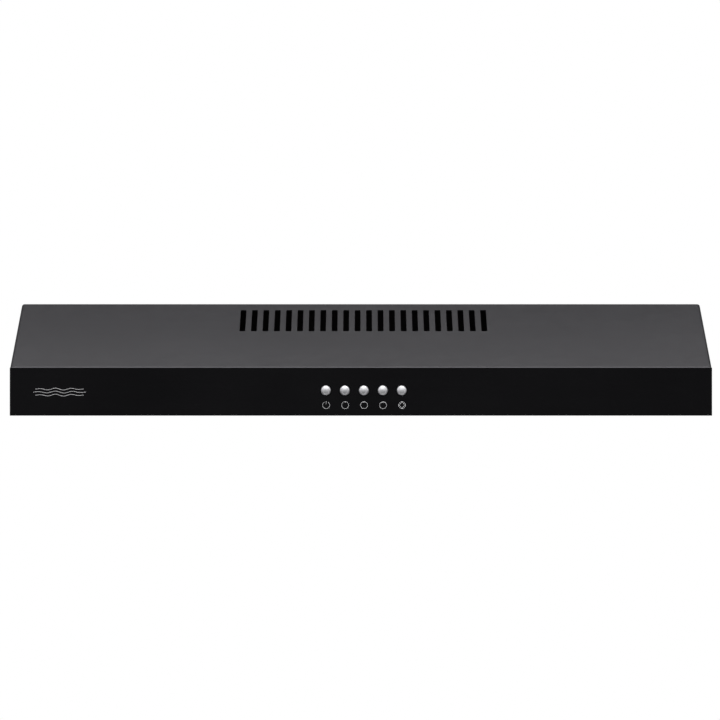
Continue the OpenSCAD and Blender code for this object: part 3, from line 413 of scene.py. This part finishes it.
def drawn_metal(name, shade, second, low, high, squeeze, scale=60.0, depth=0.00002):
    """Bare rolled or drawn metal: lines along its length, soft clouds of tone and a few scratches."""
    f = Finish(name, Metallic=1.0)
    base = f.use("mottle", Scale=110.0, Shade=shade, Second=second)["Color"]
    scratch = f.use("scuff", Scale=60.0)["Mask"]
    f.colour(f.blend(f.maths("MULTIPLY", scratch, 0.35), base, grey(0.9)))
    f.rough(f.use("rub", Scale=40.0, Low=low, High=high)["Roughness"])
    f.relief(f.use("brush", Squeeze=squeeze, Scale=scale)["Height"], depth, 0.5)
    return f.material


def zinc_sheet():
    """Zinc coated sheet with its crystal leaves."""
    f = Finish("spangled_zinc", Metallic=1.0)
    leaves = f.use("spangle", Scale=170.0, Shade=grey(0.50, 1.03), Second=grey(0.72, 1.04))
    f.colour(leaves["Color"])
    f.rough(f.use("rub", Scale=50.0, Low=0.34, High=0.48)["Roughness"])
    f.relief(leaves["Height"], 0.00002, 0.4)
    return f.material


def frosted_lens():
    """Opal plastic of the lamp cover: a fine prism ribbing across it and an etched grain."""
    f = Finish("opal_cover", **{"Transmission Weight": 0.35, "IOR": 1.49})
    f.colour(f.use("mottle", Scale=18.0, **OPAL)["Color"])
    f.rough(f.use("rub", Scale=30.0, Low=0.34, High=0.44)["Roughness"])
    ribs = f.add("ShaderNodeTexWave", {"Vector": f.where, "Scale": 80.0}).outputs["Fac"]
    etched = f.use("grain", Scale=1500.0)["Height"]
    f.relief(f.maths("ADD", ribs, f.maths("MULTIPLY", etched, 0.12)), 0.00025, 0.6)
    return f.material


def bulb_glass():
    """Opal glass of the bulb, smooth, with a faint cloud in its coating."""
    f = Finish("opal_glass", **{"Coat Weight": 0.6, "Coat Roughness": 0.04})
    f.colour(f.use("mottle", Scale=60.0, **OPAL)["Color"])
    f.rough(f.use("rub", Scale=60.0, Low=0.22, High=0.32)["Roughness"])
    f.relief(f.use("peel", Scale=120.0)["Height"], 0.00001, 0.2)
    return f.material


def copper_coil():
    """Lacquered copper windings, seen as fine strands that run round the motor."""
    f = Finish("winding_copper", Metallic=0.9)
    shades = {"Shade": (0.62, 0.26, 0.12, 1), "Second": (0.80, 0.40, 0.20, 1)}
    f.colour(f.use("mottle", Scale=90.0, **shades)["Color"])
    f.rough(f.use("rub", Scale=90.0, Low=0.24, High=0.36)["Roughness"])
    f.relief(f.use("brush", Squeeze=(6.0, 6.0, 60.0), Scale=60.0)["Height"], 0.0002, 0.8)
    return f.material


def core_steel():
    """The motor's stacked core: thin sheets edge on, darkened by their oxide."""
    f = Finish("stacked_core", Metallic=1.0)
    sheets = f.add("ShaderNodeTexWave", {"Vector": f.where, "Scale": 320.0, "Distortion": 0.4},
                   bands_direction="Z").outputs["Fac"]
    f.colour(f.blend(sheets, grey(0.20), grey(0.42)))
    f.rough(f.use("rub", Scale=60.0, Low=0.36, High=0.52)["Roughness"])
    f.relief(sheets, 0.0001, 0.5)
    return f.material


def lead_sleeve():
    """Black woven sleeve over the inner wires: two sets of strands that cross, by the piece's own
    map."""
    f = Finish("woven_sleeve")
    along = f.add("ShaderNodeUVMap", uv_map="along").outputs[0]
    strands = []
    for slant in (-45, 45):
        turn = (0, 0, math.radians(slant))
        way = f.add("ShaderNodeMapping", {"Vector": along, "Rotation": turn}).outputs[0]
        strands.append(f.add("ShaderNodeTexWave", {"Vector": way, "Scale": 3.0}).outputs["Fac"])
    woven = f.maths("MAXIMUM", *strands)
    base = f.use("mottle", Scale=50.0, Shade=grey(0.012), Second=grey(0.022))["Color"]
    f.colour(f.blend(f.maths("MULTIPLY", woven, 0.5), base, grey(0.05)))
    f.rough(f.use("rub", Scale=50.0, Low=0.45, High=0.6)["Roughness"])
    f.relief(woven, 0.0002, 0.6)
    return f.material


def screen_print():
    """Nearly white ink of the printed signs, a little uneven in tone."""
    f = Finish("sign_ink")
    f.colour(f.use("mottle", Scale=400.0, Shade=grey(0.84), Second=grey(0.92))["Color"])
    f.rough(f.use("rub", Scale=200.0, Low=0.42, High=0.55)["Roughness"])
    f.relief(f.use("grain", Scale=2500.0)["Height"], 0.000006, 0.4)
    return f.material


def mesh_aluminium():
    """Expanded aluminium foil of the filters, dulled by washing."""
    f = Finish("expanded_aluminium", Metallic=1.0)
    f.colour(f.use("mottle", Scale=120.0, Shade=grey(0.66, 1.01), Second=grey(0.74, 1.01))["Color"])
    f.rough(f.use("rub", Scale=60.0, Low=0.30, High=0.44)["Roughness"])
    f.relief(f.use("brush", Squeeze=(1.0, 30.0, 30.0), Scale=90.0)["Height"], 0.00003, 0.5)
    return f.material


ALONG_X = (1.0, 30.0, 30.0)
ALONG_Z = (30.0, 30.0, 1.0)
MATERIALS = {
    "canopy_paint": canopy_paint(),
    "fascia_paint": fascia_paint(),
    "silver_button": silver_button(),
    "switch_plastic": moulded("cream_switch", (0.66, 0.65, 0.60, 1), (0.72, 0.71, 0.66, 1), 0.36, 0.46),
    "zinc_sheet": zinc_sheet(),
    "brass_terminal": drawn_metal("tab_brass", (0.70, 0.50, 0.20, 1), (0.80, 0.60, 0.28, 1), 0.24, 0.34,
                                  (30.0, 1.0, 30.0)),
    "frosted_lens": frosted_lens(),
    "ceramic_holder": moulded("glazed_ceramic", (0.80, 0.79, 0.75, 1), (0.86, 0.85, 0.82, 1), 0.14, 0.26,
                              scale=500.0, depth=0.00001),
    "bulb_glass": bulb_glass(),
    "lamp_cap": drawn_metal("nickel_cap", grey(0.66), grey(0.78), 0.2, 0.3, ALONG_X),
    "filter_aluminium": drawn_metal("filter_rim", grey(0.68, 1.01), grey(0.78, 1.01), 0.30, 0.42, ALONG_X),
    "mesh_aluminium": mesh_aluminium(),
    "latch_plastic": moulded("latch_black", grey(0.014), grey(0.022), 0.40, 0.52),
    "air_box_plastic": moulded("duct_black", grey(0.014), grey(0.020), 0.48, 0.60),
    "outlet_plastic": moulded("outlet_black", grey(0.016), grey(0.024), 0.42, 0.54),
    "steel_rod": drawn_metal("bright_steel", grey(0.58), grey(0.68), 0.18, 0.28, ALONG_X),
    "damper_aluminium": drawn_metal("damper_sheet", grey(0.60), grey(0.72), 0.30, 0.42, ALONG_X),
    "flap_plastic": moulded("flap_grey", grey(0.09), grey(0.12), 0.42, 0.54),
    "lever_plastic": moulded("lever_red", (0.48, 0.030, 0.018, 1), (0.56, 0.045, 0.024, 1), 0.32, 0.44),
    "scroll_plastic": moulded("scroll_white", grey(0.66), grey(0.72), 0.40, 0.52),
    "wheel_plastic": moulded("wheel_white", grey(0.60), grey(0.68), 0.36, 0.48),
    "core_steel": core_steel(),
    "copper_coil": copper_coil(),
    "bush_rubber": moulded("bush_rubber", grey(0.012), grey(0.020), 0.55, 0.70, scale=600.0, depth=0.00004),
    "capacitor_case": moulded("capacitor_can", grey(0.70), grey(0.78), 0.26, 0.36,
                              scale=700.0, depth=0.00002),
    "junction_plastic": moulded("junction_black", grey(0.014), grey(0.022), 0.42, 0.54),
    "terminal_plastic": moulded("terminal_cream", (0.72, 0.71, 0.66, 1), (0.78, 0.77, 0.72, 1), 0.34, 0.44),
    "lead_sleeve": lead_sleeve(),
    "black_screw": drawn_metal("blackened_screw", grey(0.05), grey(0.08), 0.34, 0.46, ALONG_Z),
    "zinc_screw": drawn_metal("zinc_screw", grey(0.52, 1.03), grey(0.64, 1.03), 0.26, 0.38, ALONG_Z)}
SIGN_INK = screen_print()


def finish_cad_nodes():
    """Gives every CAD node the material of its slot. The material that a node came with is named
    after the slot."""
    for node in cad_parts.values():
        slot = node.data.materials[0].name
        node.data.materials[0] = MATERIALS[slot]


# ---- Ways to make a mesh ----

def signed_volume(points, faces):
    """Six times the volume inside a closed mesh, each face taken as a fan of triangles."""
    total = 0.0
    for size in sorted({len(face) for face in faces}):
        corners = points[np.array([face for face in faces if len(face) == size])]
        for k in range(1, size - 1):
            total += np.einsum("ij,ij->", corners[:, 0], np.cross(corners[:, k], corners[:, k + 1]))
    return total


def mesh_piece(name, points, faces, material, body, crease=30, uv=None):
    """Makes a closed mesh into a piece of the hood: faces outwards, smooth below the crease angle."""
    if signed_volume(points, faces) < 0:
        faces = [face[::-1] for face in faces]
    mesh = bpy.data.meshes.new(name)
    mesh.from_pydata(points.tolist(), [], faces)
    mesh.shade_smooth()
    mesh.set_sharp_from_angle(angle=math.radians(crease))
    mesh.materials.append(material)
    if uv is not None:
        layer = mesh.uv_layers.new(name="along")
        owners = np.empty(len(mesh.loops), dtype=np.int32)
        mesh.loops.foreach_get("vertex_index", owners)
        layer.data.foreach_set("uv", uv[owners].astype(np.float32).ravel())
    piece = bpy.data.objects.new(name, mesh)
    bpy.context.scene.collection.objects.link(piece)
    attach(piece, body)
    return piece


def ring_faces(rows, sides, closed):
    """Faces between rows of points that go round: quads, and a flat face on both ends unless the
    last row joins the first."""
    row = np.arange(rows if closed else rows - 1)[:, None]
    side = np.arange(sides)[None, :]
    after = (row + 1) % rows
    beside = (side + 1) % sides
    quads = np.stack([row * sides + side, row * sides + beside,
                      after * sides + beside, after * sides + side], axis=2)
    faces = quads.reshape(-1, 4).tolist()
    if not closed:
        faces.append(list(range(sides))[::-1])
        faces.append(list(range((rows - 1) * sides, rows * sides)))
    return faces


def joined(parts):
    """Several (points, faces) as one."""
    points = np.concatenate([p for p, _ in parts])
    starts = np.cumsum([0] + [len(p) for p, _ in parts[:-1]])
    faces = [[int(start) + i for i in face] for start, (_, fs) in zip(starts, parts) for face in fs]
    return points, faces


def lathe(profile, sides):
    """A profile of (radius, distance along the axis) turned round the axis. Its first and last
    points are on the axis. Gives points as (across, along, up), and faces: a fan at each pole and
    quads between."""
    profile = np.array(profile)
    turn = np.linspace(0, 2 * np.pi, sides, endpoint=False)
    inner = profile[1:-1]
    rows = len(inner)
    across = inner[:, :1] * np.cos(turn)
    up = inner[:, :1] * np.sin(turn)
    along = np.repeat(inner[:, 1:], sides, axis=1)
    body = np.stack([across, along, up], axis=2).reshape(-1, 3)
    poles = np.array([[0, profile[0, 1], 0], [0, profile[-1, 1], 0]])
    faces = ring_faces(rows, sides, closed=False)[:-2]
    near, far = rows * sides, rows * sides + 1
    last = (rows - 1) * sides
    faces += [[near, (k + 1) % sides, k] for k in range(sides)]
    faces += [[far, last + k, last + (k + 1) % sides] for k in range(sides)]
    return np.concatenate([body, poles]), faces


def smooth_route(points, steps):
    """Catmull-Rom curve through given points, with a number of steps from each point to the next."""
    p = np.array(points, dtype=float)
    p = np.concatenate([p[:1], p, p[-1:]])
    t = np.linspace(0, 1, steps, endpoint=False)[None, :, None]
    a, b, c, d = (p[i:len(p) - 3 + i][:, None, :] for i in range(4))
    curve = 0.5 * (2 * b + (c - a) * t + (2 * a - 5 * b + 4 * c - d) * t ** 2
                   + (3 * b - a - 3 * c + d) * t ** 3)
    return np.concatenate([curve.reshape(-1, 3), p[-1:]])


STRANDS_ROUND = 4.0
STRAND_L = 2 * MM


def tube(path, radius, sides=16):
    """A round tube along a path. The circle stands square to the path, and starts as level as can
    be. Also gives each point's place round and along, counted in strands, for a woven pattern.
    The count round the tube goes up and down again, so that the pattern closes."""
    along = np.gradient(path, axis=0)
    along /= np.linalg.norm(along, axis=1, keepdims=True)
    across = np.cross(along, [0.0, 0.0, 1.0])
    across /= np.linalg.norm(across, axis=1, keepdims=True)
    up = np.cross(across, along)
    turn = np.linspace(0, 2 * np.pi, sides, endpoint=False)[None, :, None]
    points = path[:, None] + radius * (np.cos(turn) * across[:, None] + np.sin(turn) * up[:, None])
    far = np.concatenate([[0.0], np.cumsum(np.linalg.norm(np.diff(path, axis=0), axis=1))])
    around = np.broadcast_to(np.abs(np.linspace(-1, 1, sides, endpoint=False)), (len(path), sides))
    onward = np.broadcast_to(far[:, None] / STRAND_L, (len(path), sides))
    uv = np.stack([around * STRANDS_ROUND, onward], axis=2)
    return points.reshape(-1, 3), ring_faces(len(path), sides, closed=False), uv.reshape(-1, 2)


def stroke(path, width, back_y, front_y, closed=False):
    """A flat printed line in the panel's plane: a path of (x, z) given a width by its mitred
    normals, and a thickness from back_y to front_y."""
    path = np.array(path, dtype=float)
    if closed:
        before, after = np.roll(path, 1, axis=0), np.roll(path, -1, axis=0)
    else:
        before = np.concatenate([2 * path[:1] - path[1:2], path[:-1]])
        after = np.concatenate([path[1:], 2 * path[-1:] - path[-2:-1]])
    one = (path - before) / np.linalg.norm(path - before, axis=1, keepdims=True)
    two = (after - path) / np.linalg.norm(after - path, axis=1, keepdims=True)
    mean = one + two
    mean /= np.linalg.norm(mean, axis=1, keepdims=True)
    reach = width / 2 / np.einsum("ij,ij->i", mean, two)[:, None]
    normal = np.stack([-mean[:, 1], mean[:, 0]], axis=1) * reach
    left, right = path + normal, path - normal
    corners = [(left, front_y), (right, front_y), (right, back_y), (left, back_y)]
    edges = [np.stack([side[:, 0], np.full(len(path), y), side[:, 1]], axis=1)
             for side, y in corners]
    points = np.stack(edges, axis=1)
    return points.reshape(-1, 3), ring_faces(len(path), len(corners), closed)


def arc(centre, radius, start, end, steps):
    """Points of a circular arc in the panel's plane, from one angle to another in degrees, counted
    from the top."""
    angle = np.radians(np.linspace(start, end, steps + 1))
    return np.stack([centre[0] + radius * np.sin(angle), centre[1] + radius * np.cos(angle)], axis=1)


# ---- Buttons ----

def make_button(node):
    """A turned button: a slim barrel, a wide flat bevel, a fine groove and a low domed face, whose
    middle is the foremost point of the CAD button. The dome falls back with the square of the
    distance from its middle."""
    low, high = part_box(node)
    centre = middle(node)
    radius = (high.x - low.x) / 2
    face_r = radius - 1.22 * MM
    dome_h = 0.36 * MM
    dome_steps = 8
    groove_y = 0.50 * MM
    barrel_l = 7 * MM
    collar_r = radius - 1.5 * MM
    collar_l = 8 * MM
    stem_r = 2.0 * MM
    stem_l = high.y - low.y
    dome = [(face_r * k / dome_steps, dome_h * (k / dome_steps) ** 2)
            for k in range(dome_steps + 1)]
    groove = [(face_r + 0.02 * MM, groove_y), (face_r + 0.11 * MM, groove_y),
              (face_r + 0.13 * MM, 0.24 * MM)]
    bevel = [(radius - 0.16 * MM, 1.10 * MM), (radius - 0.05 * MM, 1.24 * MM), (radius, 1.45 * MM)]
    barrel = [(radius, barrel_l), (collar_r, barrel_l), (collar_r, collar_l),
              (stem_r, collar_l), (stem_r, stem_l), (0, stem_l)]
    points, faces = lathe(dome + groove + bevel + barrel, sides=64)
    points = points + np.array([centre.x, low.y, centre.z])
    piece = mesh_piece(node + "_turned", points, faces, MATERIALS["silver_button"], node,
                       crease=24)
    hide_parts(node)


# ---- Printed signs ----

INK_FRONT = FRONT_Y - 0.05 * MM
INK_BACK = FRONT_Y + 0.02 * MM
SIGN_Z = RIM_Z + 9.05 * MM
SIGN_R = 2.98 * MM
LINE = 0.27 * MM
MARK_Z = RIM_Z + 20.2 * MM


def ink(path, width=LINE, closed=False):
    """A printed line that stands a hair proud of the front panel."""
    return stroke(path, width, INK_BACK, INK_FRONT, closed)


def power_sign(x):
    """A ring open at the top with an upright bar in the gap."""
    return [ink(arc((x, SIGN_Z), SIGN_R, 34, 326, 44)),
            ink([(x, SIGN_Z + 0.9 * MM), (x, SIGN_Z + SIGN_R + 0.45 * MM)])]


def speed_sign(x, step):
    """A ring with a mark inside its top that grows with the speed."""
    half_turn = (9, 24, 40)[step - 1]
    ring = arc((x, SIGN_Z), SIGN_R, 0, 360, 48)[:-1]
    mark = arc((x, SIGN_Z), SIGN_R - 0.5 * MM, -half_turn, half_turn, 12)
    return [ink(ring, closed=True), ink(mark, 0.26 * MM)]


def light_sign(x):
    """A lamp seen from below: four rim wedges, each of a long and a short arc, and four slanting
    arms between them, round a dark middle."""
    parts = []
    for turn in (0, 90, 180, 270):
        parts.append(ink(arc((x, SIGN_Z), 2.88 * MM, turn - 25, turn + 25, 10), 0.45 * MM))
        parts.append(ink(arc((x, SIGN_Z), 2.2 * MM, turn - 14, turn + 14, 6), 0.36 * MM))
        slant = math.radians(turn + 45)
        way = np.array([math.sin(slant), math.cos(slant)])
        ends = np.array([x, SIGN_Z]) + np.array([[1.35 * MM], [3.1 * MM]]) * way
        parts.append(ink(ends, 0.42 * MM))
    return parts


def panel_mark():
    """Plain mark at the left: three level air lines, each a sine wave that dies out towards its
    ends. The upper and the lower line are a little shorter than the middle one."""
    start = fascia_low.x + 20 * MM
    length = 45 * MM
    spacing = 2.6 * MM
    wave_h = 0.85 * MM
    along = np.linspace(0, 1, 90)
    lines = []
    for row in (-1, 0, 1):
        cut = 0.04 * abs(row)
        x = start + length * (cut + (1 - 2 * cut) * along)
        swell = np.sin(np.pi * along) ** 0.8
        z = MARK_Z + row * spacing + wave_h * swell * np.sin(6 * np.pi * along)
        lines.append(ink(np.stack([x, z], axis=1)))
    return lines


def make_signs():
    """A sign under each button, all a hair to its right, and the mark at the left."""
    xs = [middle(node).x + 0.25 * MM for node in BUTTONS]
    signs = {"sign_off": power_sign(xs[0])}
    for step in (1, 2, 3):
        signs["sign_speed_" + str(step)] = speed_sign(xs[step], step)
    signs["sign_light"] = light_sign(xs[4])
    signs["panel_mark"] = panel_mark()
    for name, parts in signs.items():
        points, faces = joined(parts)
        mesh_piece(name, points, faces, SIGN_INK, "hood")


# ---- Filter meshes ----

CELL_X = 16 * MM
CELL_Y = 8.4 * MM
STRAND_W = 1.5 * MM
STRAND_T = 0.5 * MM


def foil_patch(x0, x1, y0, y1, z, shift, lean):
    """A field of expanded metal between two corners. Each strand is a flat ribbon that runs along X
    and zigzags by half a cell, with a short level bond at each turn where it meets its neighbour,
    and leans a little, one edge up."""
    strands = max(1, int(round((y1 - y0) / (CELL_Y / 2))))
    half_y = (y1 - y0) / strands
    turns = max(2, int(round((x1 - x0) / (CELL_X / 2))))
    half_x = (x1 - x0) / turns
    bond = 0.17 * half_x
    knots = np.arange(turns + 1)
    x = np.stack([x0 + knots * half_x - bond, x0 + knots * half_x + bond], axis=1).ravel()
    x = np.clip(x, x0, x1)
    x[0], x[-1] = x0, x1
    high = np.repeat((knots + shift) % 2, 2)
    row = np.arange(strands)[:, None]
    up = (high[None, :] + row) % 2
    inset = STRAND_W * 0.42
    y = y0 + row * half_y + np.where(up > 0, half_y - inset, inset)
    sway = np.broadcast_to(x, y.shape)
    rise = np.where(up > 0, 1.0, -1.0) * 0.18 * MM
    w, t = STRAND_W / 2, STRAND_T / 2
    corners = [(-w, -t - lean), (w, -t + lean), (w, t + lean), (-w, t - lean)]
    points = np.stack([np.stack([sway, y + dy, z + rise + dz], axis=2) for dy, dz in corners], axis=2)
    rows = points.shape[1]
    one = np.array(ring_faces(rows, 4, closed=False)[:-2] + [[3, 2, 1, 0]]
                   + [[(rows - 1) * 4 + k for k in range(4)]])
    faces = (one[None] + (np.arange(strands) * rows * 4)[:, None, None]).reshape(-1, 4)
    return points.reshape(-1, 3), faces.tolist()


def make_filter_mesh(side):
    """Three layers of expanded foil inside a filter's rim, cut away round the latch."""
    node = "filter_mesh_" + side
    rim_gap = 1.0 * MM
    latch_gap = 0.4 * MM
    inset_z = 0.62 * MM
    lean_out = 0.16 * MM
    lean_back = -0.2 * MM
    low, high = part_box(node)
    bezel_low, bezel_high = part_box("latch_bezel_" + side)
    x0, x1 = low.x + rim_gap, high.x - rim_gap
    y0, y1 = low.y + rim_gap, high.y - rim_gap
    split = bezel_high.y + latch_gap
    layers = [(low.z + inset_z, 0, lean_out), (middle(node).z, 1, lean_back),
              (high.z - inset_z, 0, lean_out)]
    parts = []
    for z, shift, lean in layers:
        parts.append(foil_patch(x0, x1, split, y1, z, shift, lean))
        parts.append(foil_patch(x0, bezel_low.x - latch_gap, y0, split, z, shift, lean))
        parts.append(foil_patch(bezel_high.x + latch_gap, x1, y0, split, z, shift, lean))
    points, faces = joined(parts)
    piece = mesh_piece("expanded_foil_" + side, points, faces, MATERIALS["mesh_aluminium"],
                       "filter_" + side, crease=50)
    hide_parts(node)


# ---- Leads ----

# Points of the wires, in millimetres, the same as in the CAD part.
SWITCH_ROUTE = [
    (195, 92, -12), (194, 75, -12), (185, 40, -12), (180, -20, -12), (172, -90, -12),
    (158, -150, -14), (140, -200, -30), (110, -238, -52), (70, -248, -69), (46, -252, -75),
    (38.45, -259, -75.4), (38.45, -268.2, -75.4)]
LAMP_ROUTE = [
    (-33.55, -267.5, -75.4), (-35, -265.5, -75.4), (-48, -265, -75), (-70, -265, -74),
    (-80, -257, -71), (-80, -246, -69), (-75, -242, -69), (-66.1, -242, -69)]
MOTOR_ROUTE = [
    (185, 124, -12), (165, 126, -12), (140, 137, -12), (90, 141, -12), (0, 141, -12),
    (-70, 139, -12), (-118, 121, -13), (-140, 101, -14), (-155.4, 79.1, -14)]
CAPACITOR_WIRES = [[(210, 91, -20), (210, 64.1, -20)], [(220, 91, -20), (220, 64.1, -20)]]
SLEEVE_R = 2.6
LAMP_SLEEVE_R = 2.0
THIN_WIRE_R = 1.2


def make_lead(name, node, routes, radii):
    """Sleeved wires along their routes, as round tubes. Routes and radii are in millimetres."""
    parts, maps = [], []
    for route, radius in zip(routes, radii):
        points, faces, uv = tube(smooth_route(route, steps=10) * MM, radius * MM)
        parts.append((points, faces))
        maps.append(uv)
    points, faces = joined(parts)
    piece = mesh_piece(name, points, faces, MATERIALS["lead_sleeve"], "hood", crease=50,
                       uv=np.concatenate(maps))
    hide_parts(node)


# ---- Making the hood ----

set_camera()
set_world()
soft_box("overhead", place=(0.0, -0.5, 3.0), aim=(0.0, -0.1, 0.0), width=2.6, depth=1.8, power=36)
soft_box("near_glow", place=(-0.1, 0.02, 0.45), aim=(-0.1, -0.25, -0.05), width=2.4, depth=0.1,
         power=1.6)
soft_box("front_high", place=(0.0, -2.6, 2.6), aim=(0.0, -0.27, -0.08), width=2.4, depth=1.6,
         power=40)
set_floor()
finish_cad_nodes()
for button in BUTTONS:
    make_button(button)
make_signs()
for side in ("left", "right"):
    make_filter_mesh(side)
make_lead("switch_sleeve", "switch_lead", [SWITCH_ROUTE], [SLEEVE_R])
make_lead("lamp_sleeve", "lamp_lead", [LAMP_ROUTE], [LAMP_SLEEVE_R])
make_lead("motor_sleeves", "motor_leads", [MOTOR_ROUTE] + CAPACITOR_WIRES,
          [SLEEVE_R, THIN_WIRE_R, THIN_WIRE_R])
bpy.context.scene.view_settings.view_transform = "Standard"
